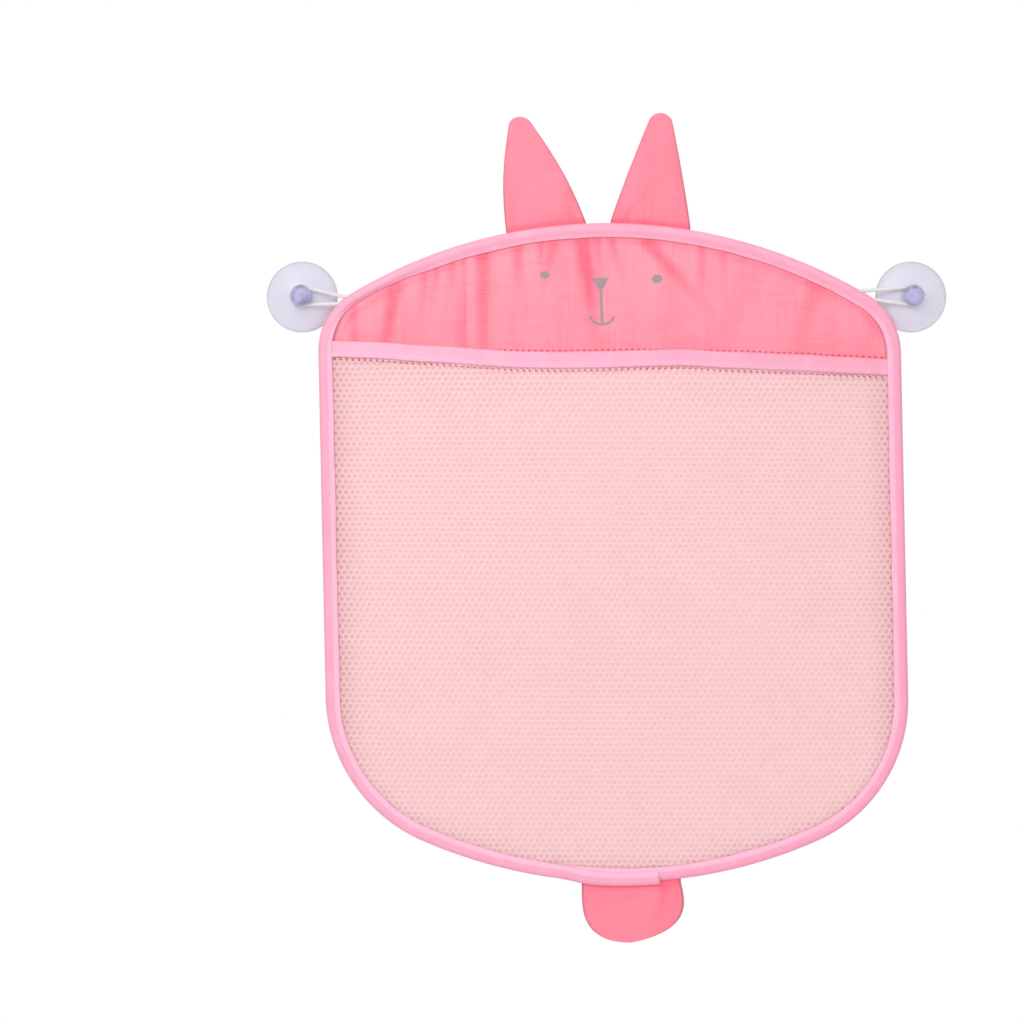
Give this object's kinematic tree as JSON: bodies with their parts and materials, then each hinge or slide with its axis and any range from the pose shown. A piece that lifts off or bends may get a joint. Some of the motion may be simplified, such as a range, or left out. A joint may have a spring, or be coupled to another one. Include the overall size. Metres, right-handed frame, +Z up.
{
  "type": "bath toy organizer",
  "caption": "Hanging net pocket for bath toys with a rabbit-shaped face panel, ears and tail, tape-bound edges and suction cups on cord loops.",
  "frame": {"origin": "midway between the two suction cups, on the wall plane", "axes": "+X right as seen from the room, +Y into the wall, +Z up"},
  "size_m": [0.383, 0.0315, 0.4657],
  "materials": {
    "woven": "matt woven polyester",
    "net": "knitted polyester net",
    "tape": "folded woven tape",
    "cord": "round elastic cord",
    "cup": "clear soft vinyl"
  },
  "bodies": {
    "bag": {"face_panel": "woven", "back_mesh": "net", "pocket_mesh": "net", "mouth_binding": "tape", "perimeter_binding": "tape"},
    "left_ear": {"left_ear_front": "woven", "left_ear_back": "woven"},
    "right_ear": {"right_ear_front": "woven", "right_ear_back": "woven"},
    "tail": {"tail_front": "woven", "tail_back": "woven"},
    "left_loop": {"left_loop": "cord"},
    "right_loop": {"right_loop": "cord"},
    "left_cup": {"left_cup": "cup"},
    "right_cup": {"right_cup": "cup"}
  },
  "joints": [
    {"name": "left_ear_fold", "type": "hinge", "parent": "bag", "child": "left_ear", "pos_m": [-0.03448, -0.00775, 0.03995], "axis": [0.9925, 0, 0.1219], "range_deg": [-80, 85], "stiffness_Nm_per_rad": 0.006},
    {"name": "right_ear_fold", "type": "hinge", "parent": "bag", "child": "right_ear", "pos_m": [0.0245, -0.00775, 0.04099], "axis": [0.9962, 0, -0.0866], "range_deg": [-80, 85], "stiffness_Nm_per_rad": 0.006},
    {"name": "tail_fold", "type": "hinge", "parent": "bag", "child": "tail", "pos_m": [0.01481, -0.00775, -0.33076], "axis": [-0.9997, 0, -0.0255], "range_deg": [-80, 85]},
    {"name": "left_loop_fold", "type": "hinge", "parent": "bag", "child": "left_loop", "pos_m": [-0.15095, -0.00775, -0.0023], "axis": [0.7431, 0, 0.6691], "range_deg": [0, 90], "stiffness_Nm_per_rad": 0.01},
    {"name": "right_loop_fold", "type": "hinge", "parent": "bag", "child": "right_loop", "pos_m": [0.14951, -0.00775, 0.00029], "axis": [0.809, 0, -0.5878], "range_deg": [0, 90], "stiffness_Nm_per_rad": 0.01},
    {"name": "left_cup_swivel", "type": "hinge", "parent": "left_loop", "child": "left_cup", "pos_m": [-0.1715, 0, 0], "axis": [0, 1, 0], "continuous": true},
    {"name": "right_cup_swivel", "type": "hinge", "parent": "right_loop", "child": "right_cup", "pos_m": [0.1715, 0, 0], "axis": [0, 1, 0], "continuous": true}
  ]
}
